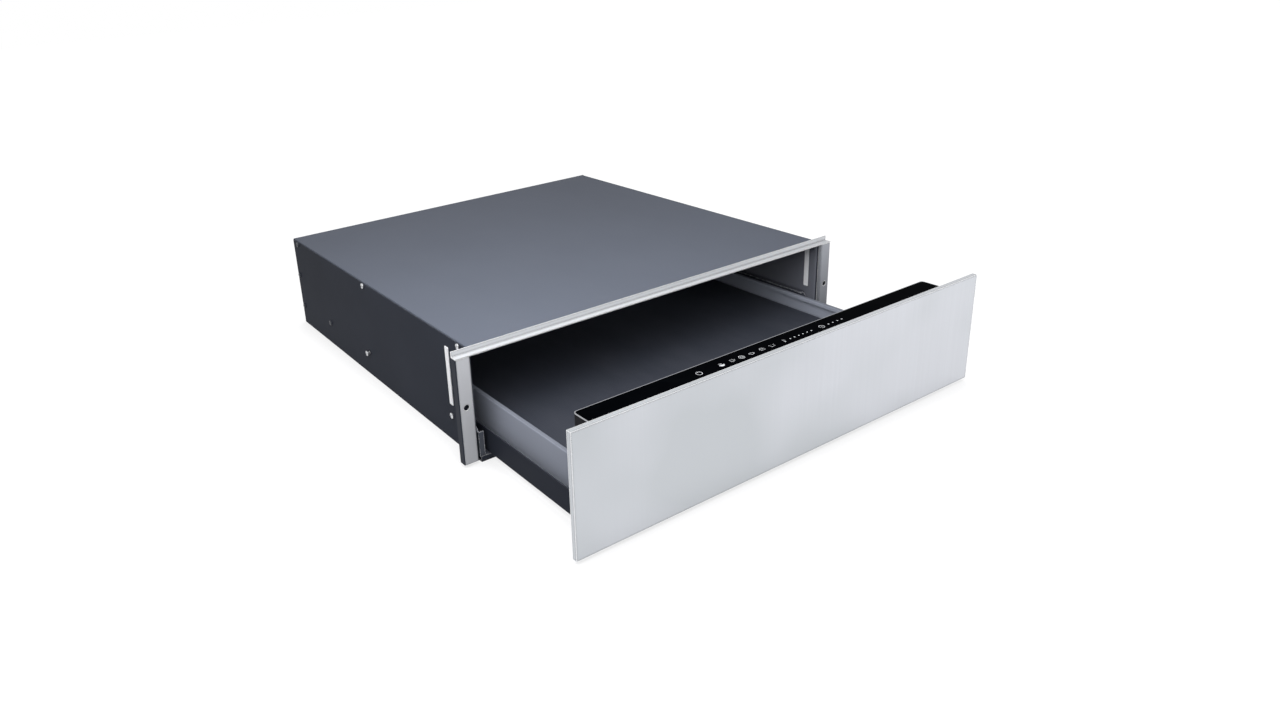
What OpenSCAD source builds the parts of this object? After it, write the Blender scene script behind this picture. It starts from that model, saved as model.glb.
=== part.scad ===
// Built in warming drawer, drawn with the drawer pulled part way out.
// Millimetres, +Z up, the user stands on the -Y side.
// The origin is the middle of the casing's flat underside.

/* [Front panel] */
// Width of the brushed front panel
panel_w = 597; // [592:1:620]
// Height of the front panel
panel_h = 136; // [130:1:150]
// Depth of the front panel from its face to its back
panel_t = 6; // [5:0.5:12]
// Height of the panel's lower edge above the casing's underside
panel_z = 4; // [2:0.5:8]
// Sheet thickness of the front panel
panel_sheet = 1; // [0.8:0.1:1.5]

/* [Casing] */
// Width across the casing's side panels
casing_w = 549; // [530:1:562]
// Depth from the frame's front plane to the casing's rear
casing_d = 546; // [530:1:600]
// Height of the casing's top
casing_h = 137; // [132:1:150]
// Sheet thickness of the casing
sheet = 1; // [0.8:0.1:1.2]
// Height of the top cover's side flanges
cover_flange = 15; // [10:1:20]

/* [Front frame] */
// How far the frame stands out past each side of the casing
frame_overhang = 20.5; // [12:0.5:22]
// Face width of each stile
stile_w = 18; // [12:1:20]
// Depth of each stile's outer return
stile_return = 10; // [8:1:14]
// Depth of each stile's inner return
stile_lip = 5; // [3:0.5:7]
// Sheet thickness of the frame
frame_sheet = 1.2; // [1:0.1:1.5]
// Gap between the surface below and the stiles
frame_z = 3.5; // [2:0.5:6]
// Depth of the top rail's ledge
rail_ledge = 10; // [8:1:14]
// Height of the top rail's riser
rail_riser = 6; // [5:0.5:8]
// How far the ledge lies below the casing's top
rail_drop = 4.5; // [4:0.5:6]
// Diameter of the fixing holes in the stiles
fixing_hole_d = 7; // [4:0.1:8]
// Distance of the fixing holes from the frame's outer edges
fixing_hole_inset = 8.5; // [7:0.5:10]
// Height of the fixing holes above the underside
fixing_hole_z = 72.8; // [40:0.1:100]

/* [Drawer] */
// How far the drawer is drawn open
drawer_open = 207.5; // [0:0.5:420]
// Room between the carrier pan and the casing's rear when the drawer is shut
rear_room = 54; // [50:1:90]
// Length of the fan's space behind the loading space
fan_room = 65; // [60:1:80]
// Gap between the panel's back and the front frame when shut
panel_gap = 1.5; // [1:0.5:3]
// Height of the carrier pan's underside
carrier_z = 7.5; // [7:0.5:9]
// Room between the dark side skirts and the casing's sides
skirt_room = 12; // [8:0.5:20]
// Height of the dark side skirts
skirt_h = 29; // [24:0.5:34]
// Gap between a skirt and the light side wall
trough_w = 12.5; // [8:0.5:16]
// Height of the light side walls above the carrier's floor
wall_h = 55.5; // [48:0.5:70]
// Height of the heated floor's top above the carrier's floor
floor_h = 32; // [30:0.5:38]
// Thickness of the anti slip mat
mat_t = 3; // [2:0.5:4]
// Height of the tray's rear wall above the carrier's floor
rear_wall_h = 109; // [100:1:112]
// Sheet thickness of the drawer's folded parts
drawer_sheet = 1.2; // [1:0.1:1.5]

/* [Runners] */
// Room between the runners' rear ends and the casing's rear
runner_room = 93; // [70:1:140]
// Height of the fixed runner member
runner_h = 31; // [29:0.5:31]
// Thickness of a runner, from drawer to bracket
runner_t = 11.5; // [11.3:0.1:12.5]
// Height of the runner's middle line above the carrier's underside
runner_mid = 14.5; // [14:0.5:15]
// Sheet thickness of the runner members
member_sheet = 1.2; // [1:0.1:1.3]
// Diameter of the bearing balls
ball_d = 3; // [2.8:0.1:3]
// Balls in each row of a cage
balls_per_row = 6; // [4:1:10]
// Thickness of the runner bracket on the casing
bracket_t = 1.5; // [1.2:0.1:1.6]
// Height of the runner bracket's upper edge above the underside
bracket_top = 57; // [50:1:62]
// Width of the runner bracket's upper lip and front flange
bracket_lip = 6; // [4:0.5:7]

/* [Controls] */
// Room between the ends of the control strip and the stiles
control_room = 15; // [12:0.5:30]
// Depth of the control strip behind the front wall
control_d = 41; // [36:1:50]
// How far the control glass lies below the panel's top
control_drop = 12; // [11:0.5:16]
// Height of the black housing under the glass
control_h = 24; // [20:1:30]
// Thickness of the control glass
glass_t = 3; // [2:0.5:4]
// Width of the bright trim round the glass
trim_w = 0.8; // [0.6:0.1:2]
// Height of the bright trim
trim_h = 1; // [0.6:0.1:2]
// Corner radius of the control strip's rear corners
control_r = 4; // [2:0.5:8]

/* [Heating] */
// Diameter of the tubular heating element
heater_d = 6.4; // [5:0.1:7]
// Number of straight runs of the heating element
heater_runs = 6; // [4:2:8]
// Distance of the element's bends from the light side walls
heater_end = 71.6; // [66:0.1:90]
// Distance of the first and last run from the ends of the loading space
heater_margin = 60; // [40:1:90]
// Diameter of the fan impeller
impeller_d = 72; // [60:1:76]
// Width of the fan impeller
impeller_w = 18; // [14:1:20]
// Number of impeller blades
blades = 24; // [16:1:30]

/* [Fasteners] */
// Head diameter of the screws
screw_head_d = 7; // [6:0.5:8]
// Head height of the screws
screw_head_h = 2.3; // [2:0.1:3]
// Shank diameter of the screws
screw_d = 4; // [3.5:0.1:4]

/* [Hidden] */
$fn = 48;

// Colours
anthracite = [0.22, 0.24, 0.28];
silver = [0.74, 0.75, 0.78];
stainless = [0.80, 0.81, 0.82];
tray_grey = [0.56, 0.57, 0.61];
dark_grey = [0.18, 0.19, 0.22];
zinc = [0.82, 0.83, 0.85];
black = [0.04, 0.04, 0.05];
white = [0.95, 0.95, 0.94];
copper_green = [0.10, 0.35, 0.22];
wool = [0.80, 0.76, 0.62];

// Fits shared by all pieces
fit = 0.2;
cut = 1;
slip = 0.1;
hole_d = screw_d + 2 * slip;
fold_r = 0.8;
fold_steps = 5;

// Casing
side_in = casing_w / 2 - sheet;
side_top = casing_h - 1.5 * sheet;
side_flange = 12;
frame_w = casing_w + 2 * frame_overhang;
stile_in = frame_w / 2 - stile_w;
ledge_z = casing_h - rail_drop;
base_front = 0.5;
bead_w = 22;
bead_h = 3;
bead_margin = 60;
bead_shares = [-0.66, -0.22, 0.22, 0.66];
cover_front = rail_ledge + fit;
cover_rear_flange = 10;
bottom_rail_d = 14;
bottom_rail_h = 6.8;
rear_flange = 12;

// Slots and their white strips: middle, lower end and upper end
slot_w = 8;
left_slot_y = 59;
left_slot_low = 49;
right_slot_y = 21.5;
right_slot_low = 67;
slot_high = 122;
strip_bead = 0.7;

// Vents and cable inlet in the rear panel
vent_w = 34;
vent_h = 3;
vent_pitch = 9;
vent_rows = 5;
vent_x_shares = [-0.72, -0.46, 0.16];
vent_z = 60;
inlet_inset = 84.5;
inlet_x = casing_w / 2 - inlet_inset;
inlet_z = 48;
gland_d = 15;
gland_bore_d = 8.4;
gland_nut_d = 20;
gland_nut_h = 5;
nut_sides = 6;
gland_in = 12;
box_w = 84;
box_h = 58;
box_d = 30;
box_wall = 2;

// Screws through the casing's sides: distance from the front and height
top_screw_inset = 4;
top_screw_z = side_top - top_screw_inset;
top_screw_front = 31;
top_screw_mid_share = 0.526;
rear_screw_inset = 7;
low_screw_z = 34;
low_screw_front = 61;
low_screw_inset = 116;
stud_y_share = 0.535;
stud_collar_d = 5.6;
stud_collar_h = 3.4;
rear_screw_heights = [29, 80];

// Runners, measured outwards from the carrier's flange and from the middle line
ball_r = ball_d / 2;
race_gap = 0.06;
race_in = ball_r + race_gap;
race_out = race_in + member_sheet;
web_gap = 1.1;
race_open = 0.9;
cage_t = 0.6;
cage_l = 120;
cage_y = 170;
cage_reach = 0.7;
pocket_r = ball_r - slip / 2;
cage_window = 9;
runner_z = carrier_z + runner_mid;
runner_y = 3;
runner_l = casing_d - runner_room - runner_y;
outer_ball = [runner_t - race_out, runner_h / 2 - race_out];
middle_face = runner_t - member_sheet - web_gap;
inner_ball = [middle_face - race_out, outer_ball[1] - 2 * race_in - member_sheet];
drawer_limit = middle_face - member_sheet - web_gap;
bracket_foot_z = 4.5;
bracket_tail = 30;
bracket_l = runner_l + bracket_tail;
bracket_front_top = 36;
bracket_gap = 1;
bracket_hole_d = 24;
bracket_hole_pitch = 60;

// Shares of the drawer's travel that the carried pieces make
middle_share = 1 / 2;
outer_cage_share = middle_share / 2;
inner_cage_share = (1 + middle_share) / 2;

// Drawer, with Y from the frame's front plane when it is shut
skirt_x = side_in - skirt_room;
tray_half = skirt_x - drawer_sheet - trough_w;
tray_in = tray_half - drawer_sheet;
floor_t = 1.5;
bracket_x = tray_in - fit - floor_t - bracket_gap;
runner_x = bracket_x - bracket_t - runner_t;
carrier_half = runner_x;
drawer_front = -panel_gap;
wall_front = drawer_front + drawer_sheet;
drawer_rear = casing_d - rear_room;
floor_z = carrier_z + sheet;
tray_front = wall_front + sheet + fit;
tray_rear = drawer_rear - fan_room;
tray_l = tray_rear - tray_front;
hem_w = 4;
hem_h = 5;
wall_flange = 10;
heated_top = floor_z + floor_h;
heated_low = heated_top - floor_t;
floor_flange = 9;
carrier_lip = 8;
lip_end = carrier_half - sheet / 2 - carrier_lip;
skirt_tab = 11;
mat_margin = 3;
mat_r = 10;
front_wall_top = panel_z + panel_h - control_drop - glass_t;
front_wall_low = floor_z;
runner_screw_shares = [0.12, 0.5, 0.88];
slab_h = 10;
slab_margin = 8;
reflector_t = 0.6;
reflector_lip = 5;
heater_gap = 0.3;
heater_z = heated_low - heater_gap - heater_d / 2;
heater_straight = 2 * (tray_in - heater_end);
heater_pitch = (tray_l - 2 * heater_margin) / (heater_runs - 1);
heater_tail = 28;
heater_tail_d = 4;
clip_t = 0.8;
clip_w = 8;
clip_foot = 6;
clip_share = 0.6;
thermostat_d = 16;
thermostat_h = 7;
thermostat_inset = 25;
thermostat_x = heater_straight / 2 - thermostat_inset;
probe_d = 5;
probe_l = 10;
probe_x = 110;
probe_z = 62;
probe_flange_d = 12;
probe_flange_h = 2;

// Fan behind the tray's rear wall
fan_z = 66;
fan_back = tray_rear + drawer_sheet;
fan_wall = 1.5;
fan_gap = 4;
fan_depth = impeller_w + 2 * fan_gap;
scroll_r = impeller_d / 2 + fan_gap;
scroll_growth = 7;
scroll_steps = 48;
shaft_d = 5;
bearing_gap = 0.05;
blade_t = 0.9;
blade_in_share = 0.74;
blade_lean = 28;
disc_t = 1.2;
hub_d = 16;
motor_d = 46;
motor_l = 26;
motor_boss_d = 14;
motor_boss_l = 3;
motor_fins = 12;
motor_fin_h = 1.6;
motor_fin_w = 2;
grille_rings = 3;
grille_hole_d = 5.6;
outlet_count = 6;
outlet_w = 24;
outlet_h = 5;
outlet_pitch = 32;
outlet_z = 92;

// Controls
glass_top = panel_z + panel_h - control_drop;
control_top = glass_top - glass_t;
control_low = control_top - control_h;
control_wall = 2;
control_w = 2 * (stile_in - control_room);
control_front = wall_front + slip;
control_rear = wall_front + control_d;
control_mid = (control_front + control_rear) / 2;
board_w = 420;
board_d = 26;
board_t = 1.6;
board_rise = 10;
boss_d = 6;
boss_count = 6;

// Front panel
backing_t = 1.5;
panel_face = drawer_front - panel_t;
panel_screw_x_share = 0.78;
panel_screw_low = 18;
panel_screw_high = 84;

// Push latch at the rear
latch_w = 40;
latch_d = 30;
latch_h = 26;
latch_z = sheet + bead_h;
latch_y = casing_d - sheet - latch_d;
plunger_d = 9;
plunger_reach = 8;
plunger_stroke = 5;
plunger_z = 20;
striker_w = 26;
striker_t = 2;
striker_gap = 0.3;

module at_front() {
  translate([0, -casing_d / 2, 0]) children();
}

// Carries a piece forward by its share of the drawer's opening
module slid(share) {
  at_front() translate([0, -drawer_open * share, 0]) children();
}

module in_drawer() {
  slid(1) children();
}

module to_left() {
  mirror([1, 0, 0]) children();
}

// Extrudes an outline drawn in X and Z along Y
module along_y(y0, y1) {
  translate([0, y1, 0]) rotate([90, 0, 0]) linear_extrude(y1 - y0) children();
}

// Extrudes an outline drawn in Y and Z along X
module along_x(x0, x1) {
  translate([x0, 0, 0]) rotate([90, 0, 90]) linear_extrude(x1 - x0) children();
}

module block(low, high) {
  translate(low) cube(high - low);
}

module rounded(w, d, r) {
  square([w - 2 * r, d], center = true);
  square([w, d - 2 * r], center = true);
  for (x = [-1, 1], y = [-1, 1]) translate([x * (w / 2 - r), y * (d / 2 - r)]) circle(r);
}

// A folded sheet's outline along a middle line, with round bends
function unit(v) = v / norm(v);
function left_of(v) = [-v[1], v[0]];
function turned(v, a) = [v[0] * cos(a) - v[1] * sin(a), v[0] * sin(a) + v[1] * cos(a)];
function turn(u, w) = atan2(u[0] * w[1] - u[1] * w[0], u * w);
function bend(a, b, c, r, off) =
  let (u = unit(b - a), angle = turn(u, unit(c - b)), side = sign(angle))
  let (start = b - u * r * tan(abs(angle) / 2), middle = start + left_of(u) * side * r)
  [for (i = [0:fold_steps])
    middle + turned(-left_of(u) * side, angle * i / fold_steps) * (r - side * off)];
function edge(path, r, off) =
  let (last = len(path) - 1)
  concat(
    [path[0] + left_of(unit(path[1] - path[0])) * off],
    [for (i = [1:1:last - 1]) each bend(path[i - 1], path[i], path[i + 1], r, off)],
    [path[last] + left_of(unit(path[last] - path[last - 1])) * off]);
function backwards(list) = [for (i = [len(list) - 1:-1:0]) list[i]];

module fold(path, t) {
  r = fold_r + t / 2;
  polygon(concat(edge(path, r, t / 2), backwards(edge(path, r, -t / 2))));
}

// A pan head screw: its head stands on z = 0 and its shank points down
module screw(shank) {
  rotate_extrude() {
    intersection() {
      translate([0, screw_head_h - screw_head_d]) circle(screw_head_d);
      square([screw_head_d / 2, screw_head_h]);
    }
    translate([0, -shank]) square([screw_d / 2, shank]);
  }
}

// Screws on the right side of the casing point inwards from its face
module side_spots(spots) {
  for (s = spots) translate([casing_w / 2, s[0], s[1]]) rotate([0, 90, 0]) children();
}

top_spots = [
  [top_screw_front, top_screw_z],
  [casing_d * top_screw_mid_share, top_screw_z],
  [casing_d - rear_screw_inset - side_flange, top_screw_z]
];
low_spots = [[low_screw_front, low_screw_z], [casing_d - low_screw_inset, low_screw_z]];
rear_spots = [for (z = rear_screw_heights) [casing_d - rear_screw_inset, z]];
stud_spots = [[casing_d * stud_y_share, low_screw_z]];

module side_holes(spots, reach) {
  side_spots(spots) translate([0, 0, -reach]) cylinder(d = hole_d, h = reach + cut);
}

// Casing

module top_cover() {
  x = side_in - fit - sheet / 2;
  z = casing_h - sheet / 2;
  low = casing_h - cover_flange;
  color(anthracite) at_front() difference() {
    union() {
      along_y(cover_front, casing_d - sheet - slip) fold([[-x, low], [-x, z], [x, z], [x, low]], sheet);
      block([-x + fold_r, cover_front, casing_h - rail_drop],
            [x - fold_r, cover_front + sheet, casing_h - sheet / 2]);
      along_x(-side_in, side_in)
        fold([[casing_d - 2 * sheet, z], [casing_d + sheet / 2 + slip, z],
              [casing_d + sheet / 2 + slip, casing_h - cover_rear_flange]], sheet);
    }
    side_holes(top_spots, sheet * 3);
    to_left() side_holes(top_spots, sheet * 3);
  }
}

module base_bead() {
  y0 = bead_margin;
  y1 = casing_d - bead_margin;
  along_y(y0, y1) polygon([[-bead_w / 2, sheet], [-bead_w / 2 + bead_h, sheet + bead_h],
                           [bead_w / 2 - bead_h, sheet + bead_h], [bead_w / 2, sheet]]);
}

module base_plate() {
  half = side_in - slip;
  color(anthracite) at_front() difference() {
    union() {
      block([-half, base_front, 0], [half, casing_d - sheet, sheet]);
      for (share = bead_shares) translate([half * share, 0, 0]) base_bead();
    }
    for (share = bead_shares) translate([half * share, 0, -sheet]) base_bead();
  }
}

module vents() {
  for (share = vent_x_shares, row = [0:vent_rows - 1])
    translate([side_in * share, casing_d - sheet / 2, vent_z + row * vent_pitch]) rotate([90, 0, 0])
      linear_extrude(sheet + 2 * cut, center = true) rounded(vent_w, vent_h, vent_h / 2 - slip / 2);
}

module rear_panel() {
  half = side_in - slip;
  high = casing_h - sheet - fold_r;
  flange_high = casing_h - cover_flange - cut;
  flange_low = 3 * sheet;
  color(anthracite) at_front() difference() {
    union() {
      block([-half, casing_d - sheet, sheet], [half, casing_d, high]);
      for (side = [-1, 1])
        block([side > 0 ? half - sheet : -half, casing_d - rear_flange, flange_low],
              [side > 0 ? half : sheet - half, casing_d, flange_high]);
    }
    vents();
    translate([inlet_x, casing_d, inlet_z]) rotate([90, 0, 0])
      cylinder(d = gland_d + 2 * slip, h = 4 * sheet, center = true);
    side_holes(rear_spots, sheet * 3);
    to_left() side_holes(rear_spots, sheet * 3);
  }
}

// Drawn on the right: the sheet, its front flange and its lower flange
module side_panel(slot_y, slot_low) {
  x = side_in + sheet / 2;
  y = stile_lip + sheet / 2;
  difference() {
    union() {
      linear_extrude(side_top) fold([[frame_w / 2 - frame_sheet - fit, y], [x, y], [x, casing_d]], sheet);
      block([side_in - side_flange, bottom_rail_d + fit, sheet],
            [x, casing_d - rear_flange - fit, 2 * sheet]);
    }
    block([side_in - cut, slot_y - slot_w / 2, slot_low],
          [casing_w / 2 + cut, slot_y + slot_w / 2, slot_high]);
    side_holes(concat(top_spots, low_spots, rear_spots, stud_spots), sheet + cut);
    fixing_hole(hole_d);
    block([side_in + sheet, stile_lip - cut, -cut], [frame_w, stile_lip + 2 * sheet, frame_z]);
    block([side_in - cut, stile_lip - cut, ledge_z - frame_sheet],
          [frame_w, rail_ledge + slip, casing_h]);
  }
}

module left_side_panel() {
  color(anthracite) at_front() to_left() side_panel(left_slot_y, left_slot_low);
}

module right_side_panel() {
  color(anthracite) at_front() side_panel(right_slot_y, right_slot_low);
}

module slot_strip(slot_y, slot_low) {
  w = slot_w - 2 * slip;
  translate([side_in, slot_y, (slot_low + slot_high) / 2]) rotate([90, 0, 90])
    linear_extrude(sheet + strip_bead) rounded(w, slot_high - slot_low - 2 * slip, fold_r);
}

module left_slot_strip() {
  color(white) at_front() to_left() slot_strip(left_slot_y, left_slot_low);
}

module right_slot_strip() {
  color(white) at_front() slot_strip(right_slot_y, right_slot_low);
}

module fixing_hole(d) {
  translate([frame_w / 2 - fixing_hole_inset, stile_lip + 2 * sheet, fixing_hole_z]) rotate([90, 0, 0])
    cylinder(d = d, h = stile_lip + 2 * sheet + cut);
}

module stile() {
  t = frame_sheet / 2;
  outer = frame_w / 2 - t;
  difference() {
    translate([0, 0, frame_z]) linear_extrude(ledge_z - frame_sheet - frame_z)
      fold([[stile_in + t, stile_lip], [stile_in + t, t], [outer, t], [outer, stile_return]], frame_sheet);
    fixing_hole(fixing_hole_d);
  }
}

module left_stile() {
  color(silver) at_front() to_left() stile();
}

module right_stile() {
  color(silver) at_front() stile();
}

module top_rail() {
  t = frame_sheet / 2;
  color(silver) at_front() along_x(-frame_w / 2, frame_w / 2)
    fold([[0, ledge_z - t], [rail_ledge - t, ledge_z - t], [rail_ledge - t, ledge_z + rail_riser]],
         frame_sheet);
}

module bottom_rail() {
  half = side_in - slip;
  color(dark_grey) at_front() along_x(-half, half)
    fold([[base_front + sheet / 2, bottom_rail_h], [base_front + sheet / 2, 1.5 * sheet],
          [bottom_rail_d, 1.5 * sheet]], sheet);
}

module casing_screws() {
  color(zinc) at_front() for (left = [false, true]) mirror([left ? 1 : 0, 0, 0]) {
    side_spots(concat(top_spots, rear_spots)) screw(2 * sheet);
    side_spots(low_spots) screw(sheet + bracket_t - slip);
  }
}

module shoulder_studs() {
  color(zinc) at_front() for (left = [false, true]) mirror([left ? 1 : 0, 0, 0])
    side_spots(stud_spots) {
      cylinder(d = stud_collar_d, h = stud_collar_h);
      translate([0, 0, stud_collar_h]) screw(stud_collar_h + sheet + bracket_t - slip);
    }
}

// Screwed to the casing's side, it passes under the drawer's side and rises to carry the runner
module runner_bracket() {
  t = bracket_t / 2;
  y1 = runner_y + bracket_l;
  side_x = side_in - t;
  lip_x = side_x - bracket_lip;
  slant = bracket_top - bracket_front_top;
  holes = floor(bracket_l / bracket_hole_pitch);
  difference() {
    union() {
      along_y(runner_y, y1)
        fold([[side_x - bracket_lip, bracket_top], [side_x, bracket_top], [side_x, bracket_foot_z],
              [bracket_x - t, bracket_foot_z], [bracket_x - t, runner_z + runner_h / 2]], bracket_t);
      block([lip_x, runner_y, bracket_foot_z], [side_x, runner_y + bracket_t, bracket_front_top]);
    }
    along_x(lip_x - cut, side_in + cut)
      polygon([[runner_y - cut, bracket_front_top], [runner_y + bracket_t, bracket_front_top],
               [runner_y + bracket_t + slant, bracket_top + bracket_t],
               [runner_y - cut, bracket_top + bracket_t]]);
    for (i = [1:holes - 1])
      translate([(side_in + bracket_x) / 2, runner_y + i * bracket_hole_pitch, bracket_foot_z])
        linear_extrude(2 * bracket_t, center = true)
          rounded(bracket_hole_d / 2, bracket_hole_d, bracket_hole_d / 4 - slip);
    side_holes(concat(low_spots, stud_spots), sheet + bracket_t + cut);
  }
}

module left_runner_bracket() {
  color(zinc) at_front() to_left() runner_bracket();
}

module right_runner_bracket() {
  color(zinc) at_front() runner_bracket();
}

// Half of a race round a ball, kept above or below the ball's middle
module race(ball, above, limit) {
  intersection() {
    translate(ball) difference() {
      circle(race_out);
      circle(race_in);
    }
    if (above) {
      translate([0, ball[1]]) square([limit, race_out]);
    } else {
      translate([0, ball[1] - race_out]) square([limit, race_out - race_open]);
    }
  }
}

module both_ways() {
  children();
  mirror([0, 1]) children();
}

module fixed_profile() {
  both_ways() {
    race(outer_ball, true, runner_t);
    translate([runner_t - member_sheet, 0]) square([member_sheet, outer_ball[1]]);
  }
}

module middle_profile() {
  both_ways() {
    race(outer_ball, false, middle_face);
    race(inner_ball, true, middle_face);
    translate([middle_face - member_sheet, 0]) square([member_sheet, inner_ball[1] + race_in / 2]);
  }
}

module drawer_profile() {
  low = inner_ball[1] - race_out;
  both_ways() {
    race(inner_ball, false, drawer_limit);
    translate([0, low]) square([inner_ball[0], member_sheet]);
    square([member_sheet, low + member_sheet]);
  }
}

module rail(l) {
  translate([runner_x, 0, runner_z]) along_y(runner_y, runner_y + l) children();
}

module left_fixed_rail() {
  color(zinc) at_front() to_left() rail(runner_l) fixed_profile();
}

module right_fixed_rail() {
  color(zinc) at_front() rail(runner_l) fixed_profile();
}

module left_middle_rail() {
  color(zinc) slid(middle_share) to_left() rail(runner_l) middle_profile();
}

module right_middle_rail() {
  color(zinc) slid(middle_share) rail(runner_l) middle_profile();
}

module ball_spots(ball) {
  pitch = cage_l / balls_per_row;
  for (i = [0:balls_per_row - 1], side = [-1, 1])
    translate([runner_x + ball[0], cage_y + (i + 1 / 2) * pitch, runner_z + side * ball[1]]) children();
}

// A flat strip with a pocket for each ball and windows between them
module cage(ball, face) {
  x = runner_x + face - web_gap / 2 - cage_t / 2;
  pitch = cage_l / balls_per_row;
  difference() {
    translate([x, cage_y, runner_z - ball[1] - cage_reach])
      cube([cage_t, cage_l, 2 * (ball[1] + cage_reach)]);
    ball_spots(ball) rotate([0, 90, 0]) cylinder(r = pocket_r, h = 2 * race_out, center = true);
    for (i = [0:balls_per_row - 1]) translate([x, cage_y + (i + 1 / 2) * pitch, runner_z])
      cube([2 * cage_t, pitch / 2, cage_window], center = true);
  }
}

module balls(ball) {
  ball_spots(ball) sphere(ball_r);
}

module left_outer_cage() {
  color("goldenrod") slid(outer_cage_share) to_left() cage(outer_ball, runner_t - member_sheet);
}

module left_outer_balls() {
  color(zinc) slid(outer_cage_share) to_left() balls(outer_ball);
}

module right_outer_cage() {
  color("goldenrod") slid(outer_cage_share) cage(outer_ball, runner_t - member_sheet);
}

module right_outer_balls() {
  color(zinc) slid(outer_cage_share) balls(outer_ball);
}

module left_inner_cage() {
  color("goldenrod") slid(inner_cage_share) to_left() cage(inner_ball, middle_face - member_sheet);
}

module left_inner_balls() {
  color(zinc) slid(inner_cage_share) to_left() balls(inner_ball);
}

module right_inner_cage() {
  color("goldenrod") slid(inner_cage_share) cage(inner_ball, middle_face - member_sheet);
}

module right_inner_balls() {
  color(zinc) slid(inner_cage_share) balls(inner_ball);
}

module latch_body() {
  color(black) at_front() difference() {
    block([-latch_w / 2, latch_y, sheet], [latch_w / 2, latch_y + latch_d, latch_z + latch_h]);
    translate([0, latch_y - cut, plunger_z]) rotate([-90, 0, 0])
      cylinder(d = plunger_d + 2 * bearing_gap, h = latch_d - box_wall + cut);
  }
}

module latch_plunger() {
  y0 = latch_y - plunger_reach;
  l = latch_d + plunger_reach - box_wall - plunger_stroke - striker_gap;
  color(white) at_front() translate([0, y0, plunger_z]) rotate([-90, 0, 0]) rotate_extrude() {
    square([plunger_d / 2, l]);
  }
}

module terminal_box() {
  low = [inlet_x - box_w / 2, casing_d - sheet - box_d, inlet_z - box_h / 2];
  high = [inlet_x + box_w / 2, casing_d - sheet, inlet_z + box_h / 2];
  w = [box_wall, box_wall, box_wall];
  color(black) at_front() difference() {
    block(low, high);
    block(low + w, high - [box_wall, -cut, box_wall]);
  }
}

module cable_gland() {
  color(black) at_front() translate([inlet_x, casing_d, inlet_z]) rotate([-90, 0, 0]) difference() {
    union() {
      cylinder(d = gland_nut_d, h = gland_nut_h, $fn = nut_sides);
      translate([0, 0, -sheet - gland_in]) cylinder(d = gland_d, h = sheet + gland_in);
      translate([0, 0, -sheet - gland_nut_h]) cylinder(d = gland_nut_d, h = gland_nut_h, $fn = nut_sides);
    }
    translate([0, 0, -sheet - gland_in - cut])
      cylinder(d = gland_bore_d, h = sheet + gland_in + gland_nut_h + 2 * cut);
  }
}

// Drawer

module runner_screw_spots() {
  for (share = runner_screw_shares)
    translate([carrier_half - sheet, runner_y + runner_l * share, runner_z]) rotate([0, -90, 0]) children();
}

module drawer_rail() {
  difference() {
    rail(runner_l) drawer_profile();
    runner_screw_spots() translate([0, 0, -member_sheet - 2 * sheet])
      cylinder(d = hole_d, h = member_sheet + 3 * sheet);
  }
}

module left_drawer_rail() {
  color(zinc) in_drawer() to_left() drawer_rail();
}

module right_drawer_rail() {
  color(zinc) in_drawer() drawer_rail();
}

module carrier_pan() {
  x = carrier_half - sheet / 2;
  z = carrier_z + sheet / 2;
  high = heated_low - sheet / 2;
  color(dark_grey) in_drawer() difference() {
    union() {
      along_y(wall_front, drawer_rear)
        fold([[-lip_end, high], [-x, high], [-x, z], [x, z], [x, high], [lip_end, high]], sheet);
      for (y = [wall_front, drawer_rear - sheet])
        block([-carrier_half + sheet, y, z], [carrier_half - sheet, y + sheet, high]);
    }
    for (left = [false, true]) mirror([left ? 1 : 0, 0, 0])
      runner_screw_spots() translate([0, 0, -sheet - cut]) cylinder(d = hole_d, h = sheet + 2 * cut);
    panel_screw_spots([panel_screw_low]) translate([0, 0, -4 * sheet]) cylinder(d = hole_d, h = 6 * sheet);
  }
}

// Drawn on the right, seen from above: a skirt with a flange at each end
module skirt() {
  t = drawer_sheet / 2;
  x = skirt_x - t;
  y0 = wall_front + t;
  y1 = tray_rear + drawer_sheet + t;
  translate([0, 0, carrier_z]) linear_extrude(skirt_h)
    fold([[skirt_x - skirt_tab, y0], [x, y0], [x, y1], [skirt_x - skirt_tab, y1]], drawer_sheet);
}

module left_skirt() {
  color(dark_grey) in_drawer() to_left() skirt();
}

module right_skirt() {
  color(dark_grey) in_drawer() skirt();
}

// Drawn on the right: an upright wall whose top is folded over and hemmed
module side_wall() {
  t = drawer_sheet / 2;
  x = tray_half - t;
  top = floor_z + wall_h - t;
  along_y(tray_front, tray_rear)
    fold([[x, carrier_z + drawer_sheet], [x, top], [x - hem_w, top], [x - hem_w, top - hem_h]],
         drawer_sheet);
}

module left_side_wall() {
  color(tray_grey) in_drawer() to_left() side_wall();
}

module right_side_wall() {
  color(tray_grey) in_drawer() side_wall();
}

// Rings of round holes, six more in each ring
module grille(pitch) {
  circle(d = grille_hole_d);
  for (k = [1:grille_rings], i = [1:6 * k]) rotate(i * 60 / k) translate([k * pitch, 0])
    circle(d = grille_hole_d);
}

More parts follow.
